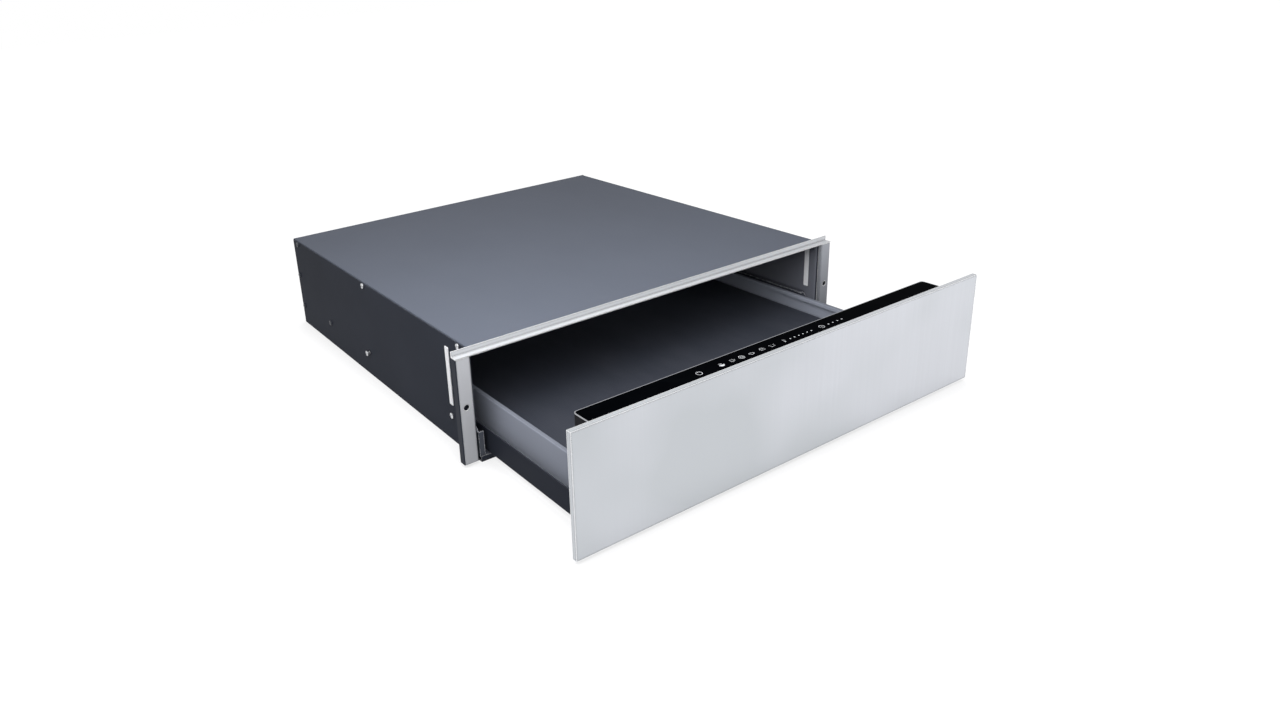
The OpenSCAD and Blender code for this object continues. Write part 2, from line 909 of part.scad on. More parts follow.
module rear_wall() {
  t = drawer_sheet;
  hole_y = tray_rear - cut;
  wing = skirt_x - t - fold_r;
  color(tray_grey) in_drawer() difference() {
    union() {
      block([-tray_half, tray_rear, floor_z], [tray_half, tray_rear + t, floor_z + rear_wall_h]);
      block([-wing, tray_rear, floor_z], [wing, tray_rear + t, carrier_z + skirt_h]);
      block([-tray_half, tray_rear, floor_z + rear_wall_h - t],
            [tray_half, tray_rear + wall_flange, floor_z + rear_wall_h]);
    }
    for (left = [false, true]) mirror([left ? 1 : 0, 0, 0])
      block([lip_end - fit, hole_y, 0], [tray_in + slip, tray_rear + t + cut, heated_low]);
    translate([0, hole_y, fan_z]) rotate([-90, 0, 0]) linear_extrude(t + 2 * cut)
      grille(impeller_d / 2 / (grille_rings + 1));
    for (side = [-1, 1], i = [0:outlet_count - 1])
      translate([side * (impeller_d + outlet_w + i * outlet_pitch), hole_y, outlet_z]) rotate([-90, 0, 0])
        linear_extrude(t + 2 * cut) rounded(outlet_w, outlet_h, outlet_h / 2 - slip);
    translate([probe_x, hole_y, probe_z]) rotate([-90, 0, 0])
      cylinder(d = probe_d + 2 * slip, h = t + 2 * cut);
  }
}

module floor_plate() {
  t = floor_t / 2;
  x = tray_in - fit - t;
  z = heated_top - t;
  color(dark_grey) in_drawer() along_y(tray_front + fit, tray_rear - fit)
    fold([[-x, z - floor_flange], [-x, z], [x, z], [x, z - floor_flange]], floor_t);
}

module anti_slip_mat() {
  half = tray_in - hem_w - mat_margin / 2;
  color(black) in_drawer() translate([0, (tray_front + tray_rear) / 2, heated_top])
    linear_extrude(mat_t) rounded(2 * half, tray_l - 2 * mat_margin, mat_r);
}

module insulation_slab() {
  half = carrier_half - sheet - carrier_lip - slab_margin;
  color(wool) in_drawer() block([-half, tray_front + slab_margin, floor_z],
                                [half, tray_rear - slab_margin, floor_z + slab_h]);
}

module reflector_plate() {
  half = carrier_half - sheet - carrier_lip - slab_margin;
  z = floor_z + slab_h + reflector_t / 2;
  color(silver) in_drawer() along_y(tray_front + slab_margin, tray_rear - slab_margin)
    fold([[-half, z + reflector_lip], [-half, z], [half, z], [half, z + reflector_lip]], reflector_t);
}

heater_y = [for (i = [0:heater_runs - 1]) tray_front + heater_margin + i * heater_pitch];

module heating_element() {
  bend_r = heater_pitch / 2;
  half = heater_straight / 2;
  color("silver") in_drawer() translate([0, 0, heater_z]) {
    for (i = [0:heater_runs - 1]) translate([-half, heater_y[i], 0]) rotate([0, 90, 0])
      cylinder(d = heater_d, h = heater_straight);
    for (i = [0:heater_runs - 2]) let (side = i % 2 == 0 ? 1 : -1)
      translate([side * half, heater_y[i] + bend_r, 0]) rotate([0, 0, -90 * side])
        rotate_extrude(angle = 180) translate([bend_r, 0]) circle(d = heater_d);
    for (i = [0, heater_runs - 1]) translate([-half - heater_tail, heater_y[i], 0]) rotate([0, 90, 0])
      cylinder(d = heater_tail_d, h = heater_tail);
  }
}

// A strap under the tube with two feet against the heated floor
module clip_profile() {
  r = heater_d / 2 + slip;
  top = heated_low - heater_z;
  difference() {
    union() {
      circle(r + clip_t);
      translate([-r - clip_t, 0]) square([2 * (r + clip_t), top]);
      translate([-r - clip_foot, top - clip_t]) square([2 * (r + clip_foot), clip_t]);
    }
    circle(r);
    translate([-r, 0]) square([2 * r, top + cut]);
  }
}

module heater_clips() {
  color(zinc) in_drawer() for (y = heater_y, side = [-1, 1])
    translate([side * clip_share * heater_straight / 2, y, heater_z])
      rotate([90, 0, 90]) linear_extrude(clip_w, center = true) clip_profile();
}

module safety_thermostat() {
  color(black) in_drawer()
    translate([thermostat_x, heater_y[heater_runs - 1] - heater_pitch / 2, heated_low - thermostat_h]) {
      cylinder(d = thermostat_d, h = thermostat_h);
      translate([0, 0, thermostat_h - clip_t]) linear_extrude(clip_t)
        rounded(2 * thermostat_d, thermostat_d / 2, clip_t);
    }
}

module temperature_probe() {
  color(zinc) in_drawer() translate([probe_x, fan_back, probe_z]) rotate([90, 0, 0]) {
    translate([0, 0, -probe_flange_h]) cylinder(d = probe_flange_d, h = probe_flange_h);
    cylinder(d = probe_d, h = probe_l);
  }
}

function scroll(grow) = [for (i = [0:scroll_steps]) let (a = 360 * i / scroll_steps)
  (scroll_r + grow + scroll_growth * i / scroll_steps) * [cos(a), sin(a)]];

module fan_housing() {
  color(black) in_drawer() translate([0, fan_back, fan_z]) rotate([-90, 0, 0]) difference() {
    linear_extrude(fan_depth + fan_wall) polygon(scroll(fan_wall));
    translate([0, 0, -cut]) linear_extrude(fan_depth + cut) polygon(scroll(0));
    translate([0, 0, fan_depth - cut]) cylinder(d = motor_boss_d + 2 * slip, h = fan_wall + 2 * cut);
    translate([scroll_r / 2, scroll_growth, -cut]) cube([scroll_r, scroll_r / 2, fan_depth / 2]);
  }
}

module fan_motor() {
  y = fan_back + fan_depth + fan_wall;
  nose = fan_wall + motor_boss_l;
  color(zinc) in_drawer() translate([0, y, fan_z]) rotate([-90, 0, 0]) difference() {
    union() {
      cylinder(d = motor_d, h = motor_l);
      translate([0, 0, -nose]) cylinder(d = motor_boss_d, h = nose + cut);
      for (i = [0:motor_fins - 1]) rotate(i * 360 / motor_fins)
        translate([motor_d / 2 - slip, -motor_fin_w / 2, motor_boss_l])
          cube([motor_fin_h, motor_fin_w, motor_l - 2 * motor_boss_l]);
    }
    translate([0, 0, -motor_l / 2]) cylinder(d = shaft_d + 2 * bearing_gap, h = motor_l);
  }
}

// Blade ring between a back disc and a front ring, on a shaft that runs in the motor
module fan_impeller() {
  r_out = impeller_d / 2;
  r_in = r_out * blade_in_share;
  back = fan_depth - fan_gap;
  color(white) in_drawer() translate([0, fan_back, fan_z]) rotate([-90, 0, 0]) {
    translate([0, 0, back - disc_t]) cylinder(r = r_out, h = disc_t);
    translate([0, 0, back - impeller_w]) difference() {
      cylinder(r = r_out, h = disc_t);
      translate([0, 0, -cut]) cylinder(r = r_in, h = disc_t + 2 * cut);
    }
    for (i = [0:blades - 1]) rotate(i * 360 / blades) translate([r_in + blade_t, 0, back - impeller_w])
      rotate(blade_lean) translate([0, -blade_t / 2, 0])
        cube([(r_out - r_in) / cos(blade_lean) - 3 * blade_t, blade_t, impeller_w]);
    translate([0, 0, back - impeller_w / 2]) cylinder(d = hub_d, h = impeller_w / 2);
    translate([0, 0, back - disc_t])
      cylinder(d = shaft_d, h = disc_t + fan_gap + fan_wall + motor_l / 2 - cut);
  }
}

// Controls

module control_outline(inset) {
  w = control_w - 2 * inset;
  y0 = control_front + inset;
  y1 = control_rear - inset;
  r = control_r;
  translate([-w / 2, y0]) square([w, y1 - y0 - r]);
  translate([-w / 2 + r, y0]) square([w - 2 * r, y1 - y0]);
  for (x = [-1, 1]) translate([x * (w / 2 - r), y1 - r]) circle(r);
}

module rim() {
  difference() {
    control_outline(0);
    control_outline(trim_w);
  }
}

module control_housing() {
  color(black) in_drawer() {
    difference() {
      translate([0, 0, control_low]) linear_extrude(control_h) control_outline(0);
      translate([0, 0, control_low + control_wall]) linear_extrude(control_h) control_outline(control_wall);
    }
    translate([0, 0, control_top]) linear_extrude(glass_t - trim_h) rim();
    for (i = [0:boss_count - 1])
      translate([board_w * ((i + 1 / 2) / boss_count - 1 / 2), control_mid, control_low + control_wall])
        cylinder(d = boss_d, h = board_rise);
  }
}

module control_board() {
  color(copper_green) in_drawer() translate([0, control_mid, control_low + control_wall + board_rise])
    linear_extrude(board_t) square([board_w, board_d], center = true);
}

module control_glass() {
  color(black) in_drawer() translate([0, 0, control_top])
    linear_extrude(glass_t) control_outline(trim_w + slip);
}

module glass_trim() {
  color(zinc) in_drawer() translate([0, 0, glass_top - trim_h]) linear_extrude(trim_h) rim();
}

// Front

module panel_screw_spots(heights) {
  for (x = [-1, 1], z = heights)
    translate([x * panel_screw_x_share * carrier_half, wall_front, z]) rotate([-90, 0, 0]) children();
}

module front_wall() {
  half = control_w / 2;
  color(dark_grey) in_drawer() difference() {
    block([-half, drawer_front, front_wall_low], [half, wall_front, front_wall_top]);
    panel_screw_spots([panel_screw_low, panel_screw_high])
      translate([0, 0, -4 * sheet]) cylinder(d = hole_d, h = 6 * sheet);
  }
}

module front_panel() {
  s = panel_sheet;
  low = [-panel_w / 2, panel_face, panel_z];
  high = [panel_w / 2, drawer_front, panel_z + panel_h];
  color(stainless) in_drawer() difference() {
    block(low, high);
    block(low + [s, s, s], high - [s, -cut, s]);
  }
}

module panel_backing() {
  in = panel_sheet + slip;
  color(dark_grey) in_drawer() difference() {
    block([-panel_w / 2 + in, drawer_front - backing_t, panel_z + in],
          [panel_w / 2 - in, drawer_front, panel_z + panel_h - in]);
    panel_screw_spots([panel_screw_low, panel_screw_high])
      translate([0, 0, -4 * sheet]) cylinder(d = hole_d, h = 6 * sheet);
  }
}

module drawer_screws() {
  color(zinc) in_drawer() {
    for (left = [false, true]) mirror([left ? 1 : 0, 0, 0])
      runner_screw_spots() screw(sheet + member_sheet);
    panel_screw_spots([panel_screw_high]) screw(drawer_sheet + backing_t);
    translate([0, sheet, 0]) panel_screw_spots([panel_screw_low]) screw(sheet + drawer_sheet + backing_t);
  }
}

module latch_striker() {
  reach = latch_y - plunger_reach - striker_gap - drawer_rear;
  half = striker_w / 2;
  high = plunger_z + plunger_d + striker_t;
  color(zinc) in_drawer() {
    block([-half, drawer_rear, carrier_z], [half, drawer_rear + striker_t, high]);
    block([-half, drawer_rear + reach - striker_t, plunger_z - plunger_d / 2],
          [half, drawer_rear + reach, plunger_z + plunger_d]);
    block([-half, drawer_rear, plunger_z + plunger_d],
          [half, drawer_rear + reach, plunger_z + plunger_d + striker_t]);
  }
}

top_cover();
base_plate();
rear_panel();
left_side_panel();
right_side_panel();
left_stile();
right_stile();
top_rail();
bottom_rail();
left_slot_strip();
right_slot_strip();
casing_screws();
shoulder_studs();
left_runner_bracket();
right_runner_bracket();
left_fixed_rail();
right_fixed_rail();
latch_body();
latch_plunger();
terminal_box();
cable_gland();
left_middle_rail();
right_middle_rail();
left_outer_cage();
left_outer_balls();
right_outer_cage();
right_outer_balls();
left_inner_cage();
left_inner_balls();
right_inner_cage();
right_inner_balls();
left_drawer_rail();
right_drawer_rail();
carrier_pan();
front_wall();
left_skirt();
right_skirt();
left_side_wall();
right_side_wall();
rear_wall();
floor_plate();
anti_slip_mat();
insulation_slab();
reflector_plate();
heating_element();
heater_clips();
safety_thermostat();
temperature_probe();
fan_housing();
fan_motor();
fan_impeller();
control_housing();
control_board();
control_glass();
glass_trim();
front_panel();
panel_backing();
drawer_screws();
latch_striker();
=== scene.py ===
import math
import random

import bmesh
import bpy
from mathutils import Matrix, Vector


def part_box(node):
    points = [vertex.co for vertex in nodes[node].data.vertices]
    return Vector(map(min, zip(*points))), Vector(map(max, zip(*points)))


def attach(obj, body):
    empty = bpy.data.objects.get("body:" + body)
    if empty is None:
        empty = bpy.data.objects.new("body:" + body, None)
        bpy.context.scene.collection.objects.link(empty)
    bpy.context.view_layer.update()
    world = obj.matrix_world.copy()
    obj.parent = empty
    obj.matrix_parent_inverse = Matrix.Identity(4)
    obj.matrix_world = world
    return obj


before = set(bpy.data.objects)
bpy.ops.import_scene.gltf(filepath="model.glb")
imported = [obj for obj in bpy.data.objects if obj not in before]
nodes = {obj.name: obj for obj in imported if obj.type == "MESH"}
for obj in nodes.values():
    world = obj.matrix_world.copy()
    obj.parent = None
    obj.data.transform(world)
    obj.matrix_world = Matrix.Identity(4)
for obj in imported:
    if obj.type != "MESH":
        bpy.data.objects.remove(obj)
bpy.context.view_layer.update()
mm = 0.001

# Where the glass and the frame's rail end, read from the frame so that print and paint follow them
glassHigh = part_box("control_glass")[1]
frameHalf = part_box("top_rail")[1].x


# Small helpers for meshes

def addObject(name, mesh, body):
    obj = bpy.data.objects.new(name, mesh)
    bpy.context.scene.collection.objects.link(obj)
    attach(obj, body)
    return obj


def meshFrom(bm, name):
    mesh = bpy.data.meshes.new(name)
    bm.to_mesh(mesh)
    bm.free()
    return mesh


def paint(obj, material):
    obj.data.materials.clear()
    obj.data.materials.append(material)


# Shader building blocks

def newGroup(name, inputs, outputs):
    group = bpy.data.node_groups.new(name, "ShaderNodeTree")
    for label, kind, value in inputs:
        socket = group.interface.new_socket(label, in_out="INPUT", socket_type=kind)
        socket.default_value = value
    for label in outputs:
        group.interface.new_socket(label, in_out="OUTPUT", socket_type="NodeSocketFloat")
    return group, group.nodes.new("NodeGroupInput"), group.nodes.new("NodeGroupOutput")


def addNode(tree, kind, **settings):
    node = tree.nodes.new(kind)
    for key, value in settings.items():
        setattr(node, key, value)
    return node


def feed(tree, value, socket):
    if isinstance(value, (int, float)):
        socket.default_value = value
    else:
        tree.links.new(value, socket)


def mathNode(tree, operation, first, second, clamp=False):
    node = addNode(tree, "ShaderNodeMath", operation=operation, use_clamp=clamp)
    feed(tree, first, node.inputs[0])
    feed(tree, second, node.inputs[1])
    return node.outputs[0]


def mapRange(tree, value, fromLow, fromHigh, toLow=0.0, toHigh=1.0):
    node = addNode(tree, "ShaderNodeMapRange")
    tree.links.new(value, node.inputs["Value"])
    ends = {"From Min": fromLow, "From Max": fromHigh, "To Min": toLow, "To Max": toHigh}
    for label, number in ends.items():
        feed(tree, number, node.inputs[label])
    return node.outputs["Result"]


def noiseNode(tree, vector, scale, detail, rough):
    node = addNode(tree, "ShaderNodeTexNoise")
    tree.links.new(vector, node.inputs["Vector"])
    feed(tree, scale, node.inputs["Scale"])
    node.inputs["Detail"].default_value = detail
    node.inputs["Roughness"].default_value = rough
    return node.outputs["Fac"]


def objectPlace(tree, scale=None):
    place = addNode(tree, "ShaderNodeTexCoord").outputs["Object"]
    if scale is None:
        return place
    mapping = addNode(tree, "ShaderNodeMapping")
    tree.links.new(place, mapping.inputs["Vector"])
    if isinstance(scale, tuple):
        mapping.inputs["Scale"].default_value = scale
    else:
        tree.links.new(scale, mapping.inputs["Scale"])
    return mapping.outputs["Vector"]


def splitVector(tree, vector):
    node = addNode(tree, "ShaderNodeSeparateXYZ")
    tree.links.new(vector, node.inputs["Vector"])
    return node.outputs


def surfaceNormal(tree):
    return addNode(tree, "ShaderNodeNewGeometry").outputs["Normal"]


# How closely a rounded normal follows the true one: 1 on flat faces, less near an edge
def edgeMatch(tree, width, samples):
    rounding = addNode(tree, "ShaderNodeBevel", samples=samples)
    tree.links.new(width, rounding.inputs["Radius"])
    match = addNode(tree, "ShaderNodeVectorMath", operation="DOT_PRODUCT")
    tree.links.new(surfaceNormal(tree), match.inputs[0])
    tree.links.new(rounding.outputs["Normal"], match.inputs[1])
    return match.outputs["Value"]


grainLook = {
    "fineDetail": 4.0, "fineRough": 0.62, "fineShare": 0.65,
    "coarseScale": 0.23, "coarseDetail": 2.0, "coarseRough": 0.5,
    "cloudPlace": (5.0, 5.0, 5.0), "cloudDetail": 2.0, "cloudRough": 0.5,
}


# Brushed grain: long fine scratches along one axis, given as counts per metre on each axis
def makeBrushedGrain():
    look = grainLook
    group, given, result = newGroup(
        "brushedGrain",
        [("Density", "NodeSocketVector", (900.0, 900.0, 9.0)), ("Contrast", "NodeSocketFloat", 0.5)],
        ["Grain", "Cloud"])
    place = objectPlace(group, given.outputs["Density"])
    fine = noiseNode(group, place, 1.0, look["fineDetail"], look["fineRough"])
    coarse = noiseNode(group, place, look["coarseScale"], look["coarseDetail"], look["coarseRough"])
    both = mathNode(group, "ADD", mathNode(group, "MULTIPLY", fine, look["fineShare"]),
                    mathNode(group, "MULTIPLY", coarse, 1.0 - look["fineShare"]))
    centred = mathNode(group, "SUBTRACT", both, 0.5)
    spread = mathNode(group, "MULTIPLY", centred, given.outputs["Contrast"])
    grain = mathNode(group, "ADD", spread, 0.5, clamp=True)
    group.links.new(grain, result.inputs["Grain"])
    cloud = noiseNode(group, objectPlace(group, look["cloudPlace"]), 1.0, look["cloudDetail"],
                      look["cloudRough"])
    group.links.new(cloud, result.inputs["Cloud"])
    return group


wearLook = {
    "samples": 4, "edge": (0.99, 0.9),  # where the rounded normal departs this far, wear begins and is full
    "patchScale": 140.0, "patchDetail": 3.0, "patchRough": 0.6,
    "patchSpan": (0.4, 0.6), "patchLeast": 0.2,
}


# Worn edges, broken up into patches; given a pale colour at full amount, the same mask paints a highlight along
# the edges
def makeEdgeWearAndHighlight():
    look = wearLook
    group, given, result = newGroup(
        "edgeWearAndHighlight", [("Amount", "NodeSocketFloat", 0.5), ("Width", "NodeSocketFloat", 0.0005)], ["Mask"])
    rim = mapRange(group, edgeMatch(group, given.outputs["Width"], look["samples"]), *look["edge"])
    patch = noiseNode(group, objectPlace(group), look["patchScale"], look["patchDetail"], look["patchRough"])
    worn = mathNode(group, "MULTIPLY", rim, mapRange(group, patch, *look["patchSpan"], look["patchLeast"]))
    group.links.new(mathNode(group, "MULTIPLY", worn, given.outputs["Amount"]), result.inputs["Mask"])
    return group


coatLook = {
    "grainSize": 2600.0, "grainDetail": 2.0, "grainRough": 0.5,
    "speckScale": 4200.0, "speckDetail": 1.0, "speckRough": 0.4, "speckSpan": (0.66, 0.74),
    "cloudScale": 7.0, "cloudDetail": 3.0, "cloudRough": 0.5,
}


# Powder coat: fine orange peel with a few pale specks
def makePowderCoat():
    look = coatLook
    group, given, result = newGroup(
        "powderCoat", [("Grain Size", "NodeSocketFloat", look["grainSize"])], ["Height", "Speck", "Cloud"])
    place = objectPlace(group)
    peel = noiseNode(group, place, given.outputs["Grain Size"], look["grainDetail"], look["grainRough"])
    speck = noiseNode(group, place, look["speckScale"], look["speckDetail"], look["speckRough"])
    cloud = noiseNode(group, place, look["cloudScale"], look["cloudDetail"], look["cloudRough"])
    group.links.new(peel, result.inputs["Height"])
    group.links.new(mapRange(group, speck, *look["speckSpan"]), result.inputs["Speck"])
    group.links.new(cloud, result.inputs["Cloud"])
    return group


filmLook = {
    "upSpan": (0.2, 1.0), "upLeast": 0.25, "place": (1.0, 0.35, 1.0),
    "smearScale": 22.0, "smearDetail": 5.0, "smearRough": 0.6, "smearSpan": (0.4, 0.75),
}


# Thin dust and wipe marks, strongest on surfaces that face up
def makeDustFilm():
    look = filmLook
    group, given, result = newGroup("dustFilm", [("Amount", "NodeSocketFloat", 0.1)], ["Mask"])
    upward = mapRange(group, splitVector(group, surfaceNormal(group))["Z"], *look["upSpan"], look["upLeast"])
    noise = noiseNode(group, objectPlace(group, look["place"]), look["smearScale"], look["smearDetail"],
                      look["smearRough"])
    smear = mapRange(group, noise, *look["smearSpan"])
    mask = mathNode(group, "MULTIPLY", mathNode(group, "MULTIPLY", smear, upward), given.outputs["Amount"])
    group.links.new(mask, result.inputs["Mask"])
    return group


rimLook = {"samples": 8, "bright": (0.93, 0.86), "near": (0.998, 0.985)}


# Rims of bent sheet: a painted highlight where the bend would catch the light, and a thin painted shade beside
# it
def makePaintedRimLight():
    look = rimLook
    group, given, result = newGroup("paintedRimLight", [("Width", "NodeSocketFloat", 0.001)], ["Bright", "Shade"])
    match = edgeMatch(group, given.outputs["Width"], look["samples"])
    bright = mapRange(group, match, *look["bright"])
    near = mapRange(group, match, *look["near"])
    group.links.new(bright, result.inputs["Bright"])
    group.links.new(mathNode(group, "SUBTRACT", near, bright, clamp=True), result.inputs["Shade"])
    return group


shadeLook = {"samples": 8, "openSpan": (0.4, 0.9)}


# Shade that gathers in inner corners and along joints
def makeCornerShade():
    look = shadeLook
    group, given, result = newGroup("cornerShade", [("Reach", "NodeSocketFloat", 0.003)], ["Mask"])
    near = addNode(group, "ShaderNodeAmbientOcclusion", samples=look["samples"])
    group.links.new(given.outputs["Reach"], near.inputs["Distance"])
    group.links.new(mapRange(group, near.outputs["AO"], *look["openSpan"], 1.0, 0.0), result.inputs["Mask"])
    return group


# A ramp from 0 to 1 between two places: away from the middle, to the rear, or up
def makePlaceRamp():
    group, given, result = newGroup(
        "placeRamp", [("From", "NodeSocketFloat", 0.0), ("To", "NodeSocketFloat", 1.0)],
        ["Outward", "Rearward", "Upward"])
    spot = splitVector(group, objectPlace(group))
    ways = {"Outward": mathNode(group, "ABSOLUTE", spot["X"], 0.0), "Rearward": spot["Y"], "Upward": spot["Z"]}
    for way, value in ways.items():
        group.links.new(mapRange(group, value, given.outputs["From"], given.outputs["To"]), result.inputs[way])
    return group


brushedGrain = makeBrushedGrain()
edgeWearAndHighlight = makeEdgeWearAndHighlight()
powderCoat = makePowderCoat()
dustFilm = makeDustFilm()
cornerShade = makeCornerShade()
paintedRimLight = makePaintedRimLight()
placeRamp = makePlaceRamp()


def newMaterial(name):
    material = bpy.data.materials.new(name)
    material.use_nodes = True
    tree = material.node_tree
    return material, tree, tree.nodes["Principled BSDF"]


def useGroup(tree, group, **values):
    node = addNode(tree, "ShaderNodeGroup", node_tree=group)
    for label, value in values.items():
        node.inputs[label.replace("_", " ")].default_value = value
    return node


def mixColor(tree, amount, first, second):
    node = addNode(tree, "ShaderNodeMix", data_type="RGBA")
    tree.links.new(amount, node.inputs["Factor"])
    for label, value in (("A", first), ("B", second)):
        pick = [s for s in node.inputs if s.name == label and s.type == "RGBA"][0]
        if isinstance(value, tuple):
            pick.default_value = (*value, 1.0)
        else:
            tree.links.new(value, pick)
    return [s for s in node.outputs if s.type == "RGBA"][0]


def bumpFrom(tree, shader, height, strength, distance):
    node = addNode(tree, "ShaderNodeBump")
    node.inputs["Strength"].default_value = strength
    node.inputs["Distance"].default_value = distance
    tree.links.new(height, node.inputs["Height"])
    tree.links.new(node.outputs["Normal"], shader.inputs["Normal"])


def toned(color, factor, lift=0.0):
    return tuple(min(1.0, c * factor + lift) for c in color)


# A roughness that follows a height by some way up and down
def roughFrom(tree, height, rough, spread):
    return mapRange(tree, height, 0.0, 1.0, rough - spread, rough + spread)


facing = {"inward": (-0.12, -0.14), "upward": (0.4, 0.8)}


# 1 on faces turned towards the middle of the object, 0 on those turned away from it
def inwardMask(tree):
    normal = splitVector(tree, surfaceNormal(tree))
    spot = splitVector(tree, objectPlace(tree))
    return mapRange(tree, mathNode(tree, "MULTIPLY", normal["X"], spot["X"]), *facing["inward"])


# 1 on faces turned up, such as the rim of an upright sheet
def upwardMask(tree):
    return mapRange(tree, splitVector(tree, surfaceNormal(tree))["Z"], *facing["upward"])


paintLook = {
    "cloudSpan": (0.3, 0.7),
    "speckShow": 0.25, "speckTone": 1.7, "speckLift": 0.01,
    "dustColor": (0.45, 0.45, 0.46), "dustRough": 0.8,
    "cornerReach": 0.004, "cornerShow": 0.5, "cornerTone": 0.3,
    "roughSpread": 0.05, "peelDepth": 0.00005,
}


def paintedMetal(name, base, rough=0.5, specular=0.3, peel=0.12, wearAndHighlight=0.5, dust=0.06,
                 wearAndHighlightColor=(0.42, 0.43, 0.45), inside=None, wearAndHighlightWidth=0.0005, mottle=0.1, upward=1.0):
    look = paintLook
    material, tree, shader = newMaterial(name)
    coat = useGroup(tree, powderCoat, Grain_Size=coatLook["grainSize"])
    edge = useGroup(tree, edgeWearAndHighlight, Amount=wearAndHighlight, Width=wearAndHighlightWidth)
    film = useGroup(tree, dustFilm, Amount=dust)
    corner = useGroup(tree, cornerShade, Reach=look["cornerReach"])
    shade = mixColor(tree, mapRange(tree, coat.outputs["Cloud"], *look["cloudSpan"]),
                     toned(base, 1.0 - mottle), toned(base, 1.0 + mottle))
    shade = mixColor(tree, mathNode(tree, "MULTIPLY", coat.outputs["Speck"], look["speckShow"]), shade,
                     toned(base, look["speckTone"], look["speckLift"]))
    if inside:
        shade = mixColor(tree, inwardMask(tree), shade, inside)
    # worn edges show the bare metal; where the caller gives a pale colour at full amount, it is a painted
    # highlight
    shade = mixColor(tree, edge.outputs["Mask"], shade, wearAndHighlightColor)
    shade = mixColor(tree, film.outputs["Mask"], shade, look["dustColor"])
    shade = mixColor(tree, mathNode(tree, "MULTIPLY", corner.outputs["Mask"], look["cornerShow"]), shade,
                     toned(base, look["cornerTone"]))
    # painted shade: faces turned up are darkened, as the lamp above lights the upturned rims
    if upward < 1.0:
        shade = mixColor(tree, upwardMask(tree), shade, toned(base, upward))
    tree.links.new(shade, shader.inputs["Base Color"])
    dusty = mathNode(tree, "MULTIPLY", film.outputs["Mask"], look["dustRough"])
    peeled = roughFrom(tree, coat.outputs["Height"], rough, look["roughSpread"])
    tree.links.new(mathNode(tree, "ADD", peeled, dusty), shader.inputs["Roughness"])
    shader.inputs["Specular IOR Level"].default_value = specular
    bumpFrom(tree, shader, coat.outputs["Height"], peel, look["peelDepth"])
    return material


metalLook = {
    "dustColor": (0.5, 0.5, 0.5),
    "cornerReach": 0.004, "cornerShow": 0.7, "cornerTone": 0.2,
    "rimShade": 0.75, "rimShadeTone": 0.3, "rimHighlightShow": 0.8, "rimHighlightColor": (0.93, 0.94, 0.95),
    "paintedShadeColor": (0.03, 0.034, 0.045), "coatedSpecular": 0.04,
    "riseTo": 0.13,  # the height at which the painted shade at a foot ends
    "roughSpread": 0.07, "grainBump": 0.12, "grainDepth": 0.00002,
}


# The painted shade is a dark coat laid over the part of a piece that lies in shade: which way it grows, and
# from where to where
def brushedMetal(name, base, density, rough=0.3, contrast=0.6, metallic=1.0, dust=0.04, streak=0.1,
                 shadedPart=None, hazeAndReflection=0.12, hazeAndReflectionColor=None, hazeAndReflectionSpan=(0.35, 0.65), rim=0.0, footShade=1.0):
    look = metalLook
    material, tree, shader = newMaterial(name)
    grain = useGroup(tree, brushedGrain, Density=density, Contrast=contrast)
    film = useGroup(tree, dustFilm, Amount=dust)
    corner = useGroup(tree, cornerShade, Reach=look["cornerReach"])
    darker = toned(base, 1.0 - streak)
    shade = mixColor(tree, grain.outputs["Grain"], darker, toned(base, 1.0 + streak))
    # random haze in the tone; on the front panel it is strong and is a painted reflection of the surroundings
    shade = mixColor(tree, mapRange(tree, grain.outputs["Cloud"], *hazeAndReflectionSpan, 0.0, hazeAndReflection), shade,
                     hazeAndReflectionColor or darker)
    shade = mixColor(tree, film.outputs["Mask"], shade, look["dustColor"])
    shade = mixColor(tree, mathNode(tree, "MULTIPLY", corner.outputs["Mask"], look["cornerShow"]), shade,
                     toned(base, look["cornerTone"]))
    # painted shade: darker towards the foot, below the height given in the look
    if footShade < 1.0:
        rise = useGroup(tree, placeRamp, From=0.0, To=look["riseTo"]).outputs["Upward"]
        shade = mixColor(tree, rise, toned(base, footShade), shade)
    # painted highlight on the bend of each rim and painted shade beside it
    if rim:
        edge = useGroup(tree, paintedRimLight, Width=rim)
        shade = mixColor(tree, mathNode(tree, "MULTIPLY", edge.outputs["Shade"], look["rimShade"]), shade,
                         toned(base, look["rimShadeTone"]))
        shade = mixColor(tree, mathNode(tree, "MULTIPLY", edge.outputs["Bright"], look["rimHighlightShow"]), shade,
                         look["rimHighlightColor"])
    shader.inputs["Metallic"].default_value = metallic
    # painted shade: a dark coat over the part that lies in shade, which also takes away its metallic gloss
    if shadedPart:
        way, start, stop = shadedPart
        shadedMask = useGroup(tree, placeRamp, From=start, To=stop).outputs[way]
        shade = mixColor(tree, shadedMask, shade, look["paintedShadeColor"])
        tree.links.new(mapRange(tree, shadedMask, 0.0, 1.0, metallic, 0.0), shader.inputs["Metallic"])
    tree.links.new(shade, shader.inputs["Base Color"])
    tree.links.new(roughFrom(tree, grain.outputs["Grain"], rough, look["roughSpread"]),
                   shader.inputs["Roughness"])
    if metallic < 1.0:
        shader.inputs["Specular IOR Level"].default_value = look["coatedSpecular"]
    bumpFrom(tree, shader, grain.outputs["Grain"], look["grainBump"], look["grainDepth"])
    return material


plasticLook = {
    "grainSize": 1900.0, "dust": 0.05, "dustColor": (0.4, 0.4, 0.4), "cloudTone": 1.1, "cloudLift": 0.002,
    "roughSpread": 0.06, "peel": 0.08, "peelDepth": 0.00004,
}


